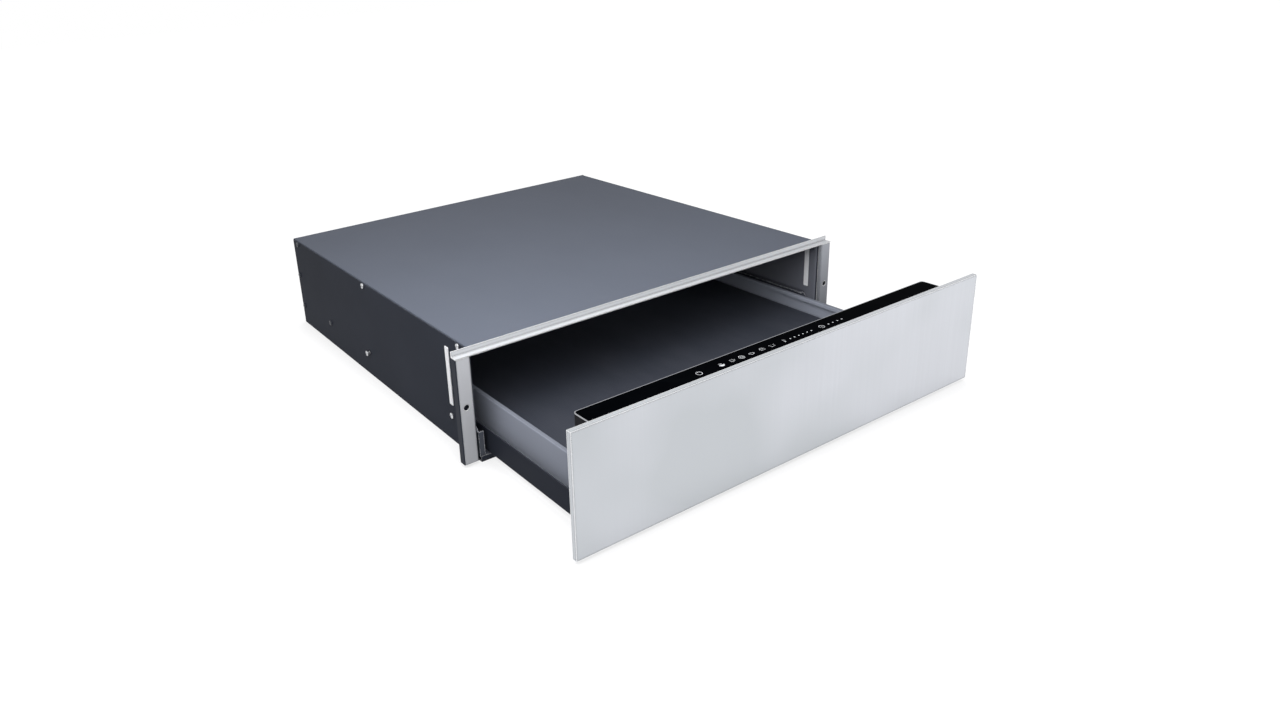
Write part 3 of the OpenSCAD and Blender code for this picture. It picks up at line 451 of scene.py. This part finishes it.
def mouldedPlastic(name, base, rough, specular=0.3):
    look = plasticLook
    material, tree, shader = newMaterial(name)
    coat = useGroup(tree, powderCoat, Grain_Size=look["grainSize"])
    film = useGroup(tree, dustFilm, Amount=look["dust"])
    shade = mixColor(tree, coat.outputs["Cloud"], base, toned(base, look["cloudTone"], look["cloudLift"]))
    shade = mixColor(tree, film.outputs["Mask"], shade, look["dustColor"])
    tree.links.new(shade, shader.inputs["Base Color"])
    tree.links.new(roughFrom(tree, coat.outputs["Height"], rough, look["roughSpread"]),
                   shader.inputs["Roughness"])
    shader.inputs["Specular IOR Level"].default_value = specular
    bumpFrom(tree, shader, coat.outputs["Height"], look["peel"], look["peelDepth"])
    return material


# Finishes, in the order in which they show

darkSheet = (0.028, 0.032, 0.044)
darkDrawer = (0.024, 0.027, 0.037)
zinc = (0.62, 0.63, 0.65)
evenGrain = (260.0, 260.0, 260.0)
uprightGrain = (1400.0, 1400.0, 9.0)
shadedOuterReturn = ("Outward", frameHalf - 0.0011, frameHalf - 0.0009)  # of a stile, darkened as painted shade where it faces away from the lamps
shadedRearScrews = ("Rearward", 0.088, 0.092)                            # darkened as painted shade from here to the rear, where the screws lie dim

anthracitePaint = paintedMetal("anthracitePaint", darkSheet, specular=0.02, wearAndHighlight=0.25, dust=0.01)
sheetPaint = paintedMetal("sheetPaint", darkSheet, specular=0.02, wearAndHighlight=0.25, dust=0.01,
                          inside=(0.15, 0.157, 0.185))
# The top cover: the casing's anthracite paint, lightened as painted light from the lamps above
litCoverPaint = paintedMetal("litCoverPaint", (0.092, 0.103, 0.131), specular=0.03, wearAndHighlight=0.2, dust=0.01,
                          mottle=0.02)
# The runner brackets: pale worn edges that are mostly a painted highlight on the lit lips, partly real wear
bracketPaint = paintedMetal("bracketPaint", (0.075, 0.082, 0.100), specular=0.05, wearAndHighlight=1.0, dust=0.02,
                            wearAndHighlightColor=(0.80, 0.81, 0.85), wearAndHighlightWidth=0.0011)
frameSteel = brushedMetal("frameSteel", (0.53, 0.54, 0.56), (9.0, 1400.0, 1400.0), rough=0.45, metallic=0.4,
                          rim=0.0016)
# The near stile: its outer return and its foot darkened as painted shade
stileSteel = brushedMetal("stileSteel", (0.55, 0.56, 0.59), uprightGrain, rough=0.45, metallic=0.2,
                          shadedPart=shadedOuterReturn, rim=0.0016, footShade=0.75)
# The far stile: a darker copy of the stile's steel, painted shade for the stile that stands in shade
shadedStileSteel = brushedMetal("shadedStileSteel", (0.395, 0.41, 0.45), uprightGrain, rough=0.45, metallic=0.1,
                             shadedPart=shadedOuterReturn, rim=0.0022, footShade=0.2)
# The front panel: its broad dark cloud is a painted reflection of the surroundings
panelSteel = brushedMetal("panelSteel", (0.575, 0.59, 0.625), (1500.0, 1500.0, 10.0), rough=0.36,
                          contrast=0.8, hazeAndReflection=0.95, hazeAndReflectionColor=(0.49, 0.512, 0.535), hazeAndReflectionSpan=(0.62, 0.38),
                          rim=0.0024)
trimMetal = brushedMetal("trimMetal", (0.36, 0.37, 0.39), evenGrain)
# The tray's walls: their upturned rims darkened as painted shade
trayPaint = paintedMetal("trayPaint", (0.27, 0.29, 0.345), specular=0.05, wearAndHighlight=0.1, dust=0.01, mottle=0.03,
                         upward=0.55)
# The bottom rail: pale worn edges that are mostly a painted highlight on the lit edge, partly real wear
sillPaint = paintedMetal("sillPaint", darkDrawer, specular=0.05, wearAndHighlight=1.0, dust=0.01,
                         wearAndHighlightColor=(0.75, 0.76, 0.78), wearAndHighlightWidth=0.0012)
darkPaint = paintedMetal("darkPaint", darkDrawer, specular=0.02, wearAndHighlight=0.2, dust=0.01)
floorPaint = paintedMetal("floorPaint", (0.025, 0.027, 0.034), rough=0.55, specular=0.15, wearAndHighlight=0.1)
zincPlate = brushedMetal("zincPlate", zinc, evenGrain, rough=0.34, contrast=1.2, streak=0.16)
# The casing screws: the rear ones darkened as painted shade
screwZinc = brushedMetal("screwZinc", zinc, evenGrain, rough=0.34, contrast=1.2, streak=0.16,
                         shadedPart=shadedRearScrews)
railSteel = brushedMetal("railSteel", (0.40, 0.41, 0.43), (900.0, 6.0, 900.0), rough=0.33)
ballSteel = brushedMetal("ballSteel", (0.72, 0.72, 0.74), (300.0, 300.0, 300.0), rough=0.12, contrast=0.3,
                         streak=0.03)
cageBrass = brushedMetal("cageBrass", (0.55, 0.42, 0.20), (500.0, 40.0, 500.0), rough=0.38)
heaterSteel = brushedMetal("heaterSteel", (0.26, 0.25, 0.25), (300.0, 300.0, 300.0), rough=0.42)
brightFoil = brushedMetal("brightFoil", (0.82, 0.83, 0.85), (200.0, 12.0, 200.0), rough=0.2)
motorCasting = brushedMetal("motorCasting", (0.45, 0.45, 0.47), (220.0, 220.0, 220.0), rough=0.5)
blackPlastic = mouldedPlastic("blackPlastic", (0.014, 0.014, 0.016), 0.42)
whitePlastic = mouldedPlastic("whitePlastic", (0.93, 0.955, 1.0), 0.4)
housingPlastic = mouldedPlastic("housingPlastic", (0.008, 0.008, 0.010), 0.4, specular=0.03)

matLook = {
    "dotScale": 420.0, "dotRandom": 0.15, "dotSpan": (0.1, 0.5),
    "cloudScale": 9.0, "cloudDetail": 3.0, "cloudRough": 0.5,
    "dark": (0.020, 0.023, 0.033), "light": (0.030, 0.034, 0.046),
    "dust": 0.05, "dustColor": (0.2, 0.2, 0.22),
    "rough": (0.62, 0.5), "specular": 0.3, "bump": 0.25, "dotHeight": 0.0002,
}


# The mat: dark rubber with a fine raised grid of dots
def makeMatRubber():
    look = matLook
    material, tree, shader = newMaterial("matRubber")
    place = objectPlace(tree)
    dots = addNode(tree, "ShaderNodeTexVoronoi", feature="F1")
    tree.links.new(place, dots.inputs["Vector"])
    dots.inputs["Scale"].default_value = look["dotScale"]
    dots.inputs["Randomness"].default_value = look["dotRandom"]
    pimple = mapRange(tree, dots.outputs["Distance"], *look["dotSpan"], 1.0, 0.0)
    cloud = noiseNode(tree, place, look["cloudScale"], look["cloudDetail"], look["cloudRough"])
    shade = mixColor(tree, cloud, look["dark"], look["light"])
    film = useGroup(tree, dustFilm, Amount=look["dust"])
    tree.links.new(mixColor(tree, film.outputs["Mask"], shade, look["dustColor"]), shader.inputs["Base Color"])
    tree.links.new(mapRange(tree, pimple, 0.0, 1.0, *look["rough"]), shader.inputs["Roughness"])
    shader.inputs["Specular IOR Level"].default_value = look["specular"]
    bumpFrom(tree, shader, pimple, look["bump"], look["dotHeight"])
    return material


glassLook = {
    "smearScale": 38.0, "smearDetail": 6.0, "smearRough": 0.65, "smearSpan": (0.5, 0.8),
    "clean": (0.0003, 0.0005, 0.0009), "smeared": (0.0010, 0.0013, 0.0018),
    "rough": (0.04, 0.16), "specular": 0.001,
}


# Back printed black glass with a clear gloss and faint finger smears
def makeBlackGlass():
    look = glassLook
    material, tree, shader = newMaterial("blackGlass")
    noise = noiseNode(tree, objectPlace(tree), look["smearScale"], look["smearDetail"], look["smearRough"])
    smear = mapRange(tree, noise, *look["smearSpan"])
    tree.links.new(mixColor(tree, smear, look["clean"], look["smeared"]), shader.inputs["Base Color"])
    tree.links.new(mapRange(tree, smear, 0.0, 1.0, *look["rough"]), shader.inputs["Roughness"])
    shader.inputs["Specular IOR Level"].default_value = look["specular"]
    return material


boardLook = {
    "tracks": {"Scale": 160.0, "Color1": (0.012, 0.09, 0.04, 1.0), "Color2": (0.018, 0.12, 0.055, 1.0),
               "Mortar": (0.03, 0.17, 0.08, 1.0)},
    "rough": 0.35, "bump": 0.2, "trackHeight": 0.00004,
}


# The board's lacquer with its tracks
def makeBoardGreen():
    look = boardLook
    material, tree, shader = newMaterial("boardGreen")
    tracks = addNode(tree, "ShaderNodeTexBrick")
    tree.links.new(objectPlace(tree), tracks.inputs["Vector"])
    for label, value in look["tracks"].items():
        tracks.inputs[label].default_value = value
    tree.links.new(tracks.outputs["Color"], shader.inputs["Base Color"])
    shader.inputs["Roughness"].default_value = look["rough"]
    bumpFrom(tree, shader, tracks.outputs["Fac"], look["bump"], look["trackHeight"])
    return material


# Finishes that are two colours mixed by one noise, given by its scale, detail and roughness
noisyLooks = {
    # the insulation's fibres
    "slabWool": {"noise": (900.0, 8.0, 0.7), "dark": (0.34, 0.29, 0.16), "light": (0.62, 0.56, 0.38),
                 "rough": 0.95, "metallic": 0.0, "stretch": (1.0, 0.4, 1.0), "bump": (0.6, 0.0006)},
    # white print on the glass, slightly uneven
    "iconPrint": {"noise": (700.0, 2.0, 0.5), "dark": (0.40, 0.41, 0.43), "light": (0.54, 0.55, 0.57),
                  "rough": 0.4, "metallic": 0.0},
    # the shaded bottom of a cross recess
    "recessShade": {"noise": (3000.0, 2.0, 0.5), "dark": (0.02, 0.02, 0.022), "light": (0.07, 0.07, 0.075),
                    "rough": 0.55, "metallic": 0.6},
}


def makeNoisy(name):
    look = noisyLooks[name]
    material, tree, shader = newMaterial(name)
    patch = noiseNode(tree, objectPlace(tree, look.get("stretch")), *look["noise"])
    tree.links.new(mixColor(tree, patch, look["dark"], look["light"]), shader.inputs["Base Color"])
    shader.inputs["Roughness"].default_value = look["rough"]
    shader.inputs["Metallic"].default_value = look["metallic"]
    if "bump" in look:
        bumpFrom(tree, shader, patch, *look["bump"])
    return material


matRubber = makeMatRubber()
blackGlass = makeBlackGlass()
boardGreen = makeBoardGreen()
slabWool = makeNoisy("slabWool")
iconPrint = makeNoisy("iconPrint")
recessShade = makeNoisy("recessShade")


def pair(*names):
    return [side + name for name in names for side in ("left_", "right_")]


finishes = {
    litCoverPaint: ["top_cover"],
    anthracitePaint: ["base_plate", "rear_panel"],
    sheetPaint: pair("side_panel"),
    stileSteel: ["left_stile"],
    shadedStileSteel: ["right_stile"],
    frameSteel: ["top_rail"],
    sillPaint: ["bottom_rail"],
    darkPaint: ["carrier_pan", "front_wall", "panel_backing"] + pair("skirt"),
    whitePlastic: ["latch_plunger", "fan_impeller"] + pair("slot_strip"),
    bracketPaint: pair("runner_bracket"),
    railSteel: pair("fixed_rail", "middle_rail", "drawer_rail"),
    ballSteel: pair("outer_balls", "inner_balls"),
    cageBrass: pair("outer_cage", "inner_cage"),
    blackPlastic: ["latch_body", "terminal_box", "cable_gland", "safety_thermostat", "fan_housing"],
    trayPaint: ["rear_wall"] + pair("side_wall"),
    floorPaint: ["floor_plate"],
    matRubber: ["anti_slip_mat"],
    slabWool: ["insulation_slab"],
    brightFoil: ["reflector_plate"],
    heaterSteel: ["heating_element", "temperature_probe"],
    motorCasting: ["fan_motor"],
    housingPlastic: ["control_housing"],
    boardGreen: ["control_board"],
    blackGlass: ["control_glass"],
    trimMetal: ["glass_trim"],
    screwZinc: ["casing_screws"],
    zincPlate: ["shoulder_studs", "drawer_screws", "latch_striker", "heater_clips"],
    panelSteel: ["front_panel"],
}

edges = {
    "smoothAngle": 28, "roundAngle": 35, "segments": 2,
    # the pieces whose edges are rounded, by the width of the round in millimetres
    "rounds": {
        0.12: pair("side_panel"),
        0.15: pair("side_wall"),
        0.2: pair("stile", "skirt") + ["top_rail", "glass_trim"],
        0.25: ["top_cover"],
        0.3: pair("slot_strip"),
        0.35: ["control_glass"],
        0.4: ["cable_gland"],
        0.5: ["control_housing"],
        0.6: ["anti_slip_mat", "latch_body", "terminal_box"],
        0.7: ["front_panel"],
    },
}


def roundEdges(obj, width):
    bevel = obj.modifiers.new("edgeRound", "BEVEL")
    bevel.width = width * mm
    bevel.segments = edges["segments"]
    bevel.limit_method = "ANGLE"
    bevel.angle_limit = math.radians(edges["roundAngle"])
    bevel.use_clamp_overlap = True
    bevel.harden_normals = True


def dressNodes():
    for material, names in finishes.items():
        for name in names:
            paint(nodes[name], material)
    for obj in nodes.values():
        obj.data.polygons.foreach_set("use_smooth", [True] * len(obj.data.polygons))
        obj.data.set_sharp_from_angle(angle=math.radians(edges["smoothAngle"]))
    for width, names in edges["rounds"].items():
        for name in names:
            roundEdges(nodes[name], width)


dressNodes()
print("nodes dressed")


# The printed symbols of the touch keys, as strokes on the glass, in millimetres

icons = {
    "back": 14.5,    # distance in front of the glass's rear edge
    "lift": 0.04,    # height above the glass
    "line": 0.45,    # width of a printed line
    "scale": 1.15,   # of each symbol about its own middle
    # where each symbol stands across the glass
    "spots": {
        "power": [-116.7], "steam": [-86.4], "cup": [-71.2], "plate": [-57.6], "bowl": [-43.4],
        "dish": [-28.0], "pot": [-12.9], "probe": [5.0], "clock": [64.3],
        "dot": [14.6, 21.2, 27.8, 34.4, 41.0, 47.7, 75.2, 82.3, 89.8, 97.3],
    },
}


def arc(x, y, radius, start, stop, steps=28):
    turns = [math.radians(start + (stop - start) * i / steps) for i in range(steps + 1)]
    return [(x + radius * math.cos(a), y + radius * math.sin(a)) for a in turns]


def ring(x, y, radius, steps=28):
    return arc(x, y, radius, 0, 360, steps)[:-1]


# Each stroke is its points about the symbol's middle, how many lines wide it is (0 fills it), and closed or not
symbols = {
    "power": [(arc(0.0, 0.0, 2.9, 120, 420), 1.2, False), ([(0.0, 0.8), (0.0, 3.6)], 1.2, False)],
    "steam": [(arc(0.0, 0.0, 3.0, 180, 360, 16), 0.0, True)]
             + [([(x, 0.7), (x + 0.3, 1.7), (x, 2.7)], 1.0, False) for x in (-1.2, 0.0, 1.2)],
    "cup": [([(-1.8, 2.0), (-1.3, -1.8), (1.3, -1.8), (1.8, 2.0)], 1.0, True),
            (arc(2.0, 0.2, 1.1, -80, 80, 12), 1.0, False)],
    "plate": [(ring(0.0, 0.0, 2.8), 1.0, True), (ring(0.0, 0.0, 1.5), 1.0, True)],
    "bowl": [(arc(0.0, 0.8, 2.8, 180, 360, 18), 1.0, False), ([(-3.1, 0.8), (3.1, 0.8)], 1.0, False)],
    "dish": [([(-2.8, -1.6), (2.8, -1.6), (2.8, 0.8), (-2.8, 0.8)], 1.0, True),
             (arc(0.0, 0.8, 1.8, 0, 180, 14), 1.0, False)],
    "pot": [([(-2.2, 1.4), (-2.2, -1.8), (2.2, -1.8), (2.2, 1.4)], 1.0, True),
            ([(-3.4, 1.4), (3.4, 1.4)], 1.0, False)],
    "probe": [(ring(0.0, -1.8, 0.8, 20), 0.0, True), ([(0.0, -1.2), (0.0, 3.0)], 1.0, False)]
             + [([(0.9, y), (1.9, y)], 0.6, False) for y in (0.0, 1.0, 2.0)],
    "dot": [(ring(0.0, 0.0, 0.8, 20), 0.0, True)],
    "clock": [(ring(0.0, 0.0, 2.8), 1.0, True), ([(0.0, 1.8), (0.0, 0.0), (1.3, -0.6)], 1.0, False)],
}


def strip(bm, points, width, z, closed):
    count = len(points)
    left, right = [], []
    for index, point in enumerate(points):
        before = points[(index - 1) % count] if closed or index else point
        after = points[(index + 1) % count] if closed or index < count - 1 else point
        along = Vector((after[0] - before[0], after[1] - before[1]))
        along.normalize()
        side = Vector((-along.y, along.x)) * width / 2
        left.append(bm.verts.new((point[0] + side.x, point[1] + side.y, z)))
        right.append(bm.verts.new((point[0] - side.x, point[1] - side.y, z)))
    for index in range(count if closed else count - 1):
        following = (index + 1) % count
        bm.faces.new((left[index], right[index], right[following], left[following]))


def makeIcons():
    bm = bmesh.new()
    z = glassHigh.z + icons["lift"] * mm
    front = glassHigh.y - icons["back"] * mm
    unit = icons["scale"] * mm
    for name, spots in icons["spots"].items():
        for spot in spots:
            for points, width, closed in symbols[name]:
                placed = [(spot * mm + x * unit, front + y * unit) for x, y in points]
                if width:
                    strip(bm, placed, width * icons["line"] * unit, z, closed)
                else:
                    bm.faces.new([bm.verts.new((x, y, z)) for x, y in placed])
    bmesh.ops.recalc_face_normals(bm, faces=bm.faces)
    for face in bm.faces:
        if face.normal.z < 0:
            face.normal_flip()
    paint(addObject("key_symbols", meshFrom(bm, "keySymbols"), "drawer"), iconPrint)


makeIcons()
print("key symbols printed")


# Cross recesses in the screw heads: thin dark crosses that follow the dome, painting the shade in the recesses

screws = {
    "side": 0.2745,         # the casing's outer face
    "front": -0.273,        # the frame's front plane
    # distance behind the front plane and height of each screw
    "spots": [(0.031, 0.1315), (0.2872, 0.1315), (0.527, 0.1315), (0.061, 0.034), (0.430, 0.034),
              (0.539, 0.029), (0.539, 0.080)],
    "studSpots": [(0.2921, 0.034)],
    "studRise": 0.0034,
    "headHeight": 0.0023,
    "domeRadius": 0.007,    # of the sphere that the head's top belongs to
    "armLength": 0.0019,
    "armWidth": 0.0007,
    "lift": 0.00003,
    "crossLift": 0.2,       # how much more the second arm is lifted
    "steps": 6,
    "seed": 7,
    "mostTurn": 1.5,        # of a cross, in radians
}


def screwTips(spots, rise):
    away = screws["side"] + rise + screws["headHeight"]
    for side in (-1.0, 1.0):
        for behind, height in spots:
            yield Vector((side * away, screws["front"] + behind, height)), Vector((side, 0.0, 0.0))


def crossArm(bm, tip, turn, quarter):
    arm = Matrix.Rotation(math.pi / 2 * quarter, 3, "Z")
    lift = screws["lift"] * (1 + quarter * screws["crossLift"])
    rows = []
    for i in range(screws["steps"] + 1):
        x = screws["armLength"] * (2.0 * i / screws["steps"] - 1.0)
        row = []
        for y in (-screws["armWidth"] / 2, screws["armWidth"] / 2):
            drop = screws["domeRadius"] - math.sqrt(screws["domeRadius"] ** 2 - x * x - y * y)
            row.append(bm.verts.new(tip + turn @ (arm @ Vector((x, y, lift - drop)))))
        rows.append(row)
    for first, second in zip(rows, rows[1:]):
        bm.faces.new((first[0], second[0], second[1], first[1]))


def makeRecesses(name, spots, rise):
    bm = bmesh.new()
    randomTurn = random.Random(len(name) * screws["seed"])
    for tip, facingWay in screwTips(spots, rise):
        spin = Matrix.Rotation(randomTurn.uniform(0.0, screws["mostTurn"]), 3, "Z")
        turn = facingWay.to_track_quat("Z", "Y").to_matrix() @ spin
        for quarter in range(2):
            crossArm(bm, tip, turn, quarter)
    paint(addObject(name, meshFrom(bm, name), "casing"), recessShade)


makeRecesses("casing_screw_recesses", screws["spots"], 0.0)
makeRecesses("stud_recesses", screws["studSpots"], screws["studRise"])
print("screw recesses cut")


# The room: a floor that glows white to the camera and carries the shadow, with a painted contact shadow where
# its glow dims close under the object, a white world and soft lamps

room = {
    "floorSize": 14.0,
    "floorDrop": 0.0001,
    "floorColor": (0.15, 0.15, 0.155, 1.0),
    "floorRough": 0.9,
    "floorGlow": 0.935,
    "shadowedGlow": 0.72,   # the dimmed glow, a painted contact shadow, where the floor lies close under the object
    "contactReach": 0.05,
    "worldStrength": 0.5,
    "white": (1.0, 1.0, 1.0, 1.0),
}


# 1 for the rays by which the camera sees white, straight or in a mirror or glass
def whiteSeen(tree):
    path = addNode(tree, "ShaderNodeLightPath")
    mirrored = mathNode(tree, "MAXIMUM", path.outputs["Is Glossy Ray"], path.outputs["Is Transmission Ray"])
    return mathNode(tree, "MAXIMUM", path.outputs["Is Camera Ray"], mirrored)


def makeFloor():
    bm = bmesh.new()
    half = room["floorSize"] / 2
    bm.faces.new([bm.verts.new((x * half, y * half, 0.0)) for x, y in ((-1, -1), (1, -1), (1, 1), (-1, 1))])
    mesh = meshFrom(bm, "studioFloor")
    floor = bpy.data.objects.new("studio_floor", mesh)
    floor.location.z = -room["floorDrop"]
    bpy.context.scene.collection.objects.link(floor)
    material, tree, shader = newMaterial("floorSheet")
    shader.inputs["Base Color"].default_value = room["floorColor"]
    shader.inputs["Roughness"].default_value = room["floorRough"]
    shader.inputs["Specular IOR Level"].default_value = 0.0
    shader.inputs["Emission Color"].default_value = room["white"]
    paintedShadow = useGroup(tree, cornerShade, Reach=room["contactReach"])
    glow = mapRange(tree, paintedShadow.outputs["Mask"], 0.0, 1.0, room["floorGlow"], room["shadowedGlow"])
    tree.links.new(mathNode(tree, "MULTIPLY", whiteSeen(tree), glow), shader.inputs["Emission Strength"])
    paint(floor, material)


def makeWorld():
    world = bpy.data.worlds.new("studioWorld")
    bpy.context.scene.world = world
    world.use_nodes = True
    tree = world.node_tree
    sky = tree.nodes["Background"]
    sky.inputs["Color"].default_value = room["white"]
    strength = mapRange(tree, whiteSeen(tree), 0.0, 1.0, room["worldStrength"], 1.0)
    tree.links.new(strength, sky.inputs["Strength"])


lamps = [
    # name, place, aim, size, watts
    ("keyLamp", (-1.7, -2.1, 1.2), (0.0, -0.4, 0.05), 1.5, 12.0),
    ("topLamp", (-0.32, -0.40, 0.60), (-0.15, -0.25, 0.13), 0.7, 6.4),
    ("endLamp", (1.2, -1.6, 0.35), (0.3, -0.45, 0.07), 0.9, 10.5),
]


def makeLamps():
    for name, place, aim, size, watts in lamps:
        data = bpy.data.lights.new(name, "AREA")
        data.shape = "SQUARE"
        data.size = size
        data.energy = watts
        lamp = bpy.data.objects.new(name, data)
        lamp.location = place
        lamp.rotation_mode = "QUATERNION"
        lamp.rotation_quaternion = (Vector(aim) - Vector(place)).to_track_quat("-Z", "Y")
        bpy.context.scene.collection.objects.link(lamp)


# The camera stands in front of the left corner, turned a little about its own axis
camera = {
    "place": (-0.70218, -1.08382, 0.54392),
    "yaw": 0.569, "pitch": 0.365, "roll": -0.06,
    "lens": 26.33, "sensor": 36.0, "shift": (0.078125, -0.05),
    "near": 0.01, "far": 50.0,
}


def makeCamera():
    yaw, pitch, roll = camera["yaw"], camera["pitch"], camera["roll"]
    forward = Vector((math.sin(yaw) * math.cos(pitch), math.cos(yaw) * math.cos(pitch), -math.sin(pitch)))
    right = Vector((math.cos(yaw), -math.sin(yaw), 0.0))
    up = right.cross(forward)
    tiltedRight = right * math.cos(roll) + up * math.sin(roll)
    tiltedUp = up * math.cos(roll) - right * math.sin(roll)
    data = bpy.data.cameras.new("photoCamera")
    data.lens = camera["lens"]
    data.sensor_width = camera["sensor"]
    data.sensor_fit = "HORIZONTAL"
    data.shift_x, data.shift_y = camera["shift"]
    data.dof.use_dof = False
    data.clip_start = camera["near"]
    data.clip_end = camera["far"]
    obj = bpy.data.objects.new("photoCamera", data)
    axes = Matrix((tiltedRight, tiltedUp, -forward)).transposed().to_4x4()
    obj.matrix_world = Matrix.Translation(camera["place"]) @ axes
    bpy.context.scene.collection.objects.link(obj)
    bpy.context.scene.camera = obj


makeFloor()
makeWorld()
makeLamps()
makeCamera()
bpy.context.scene.view_settings.view_transform = "Standard"
print("room, lamps and camera set")
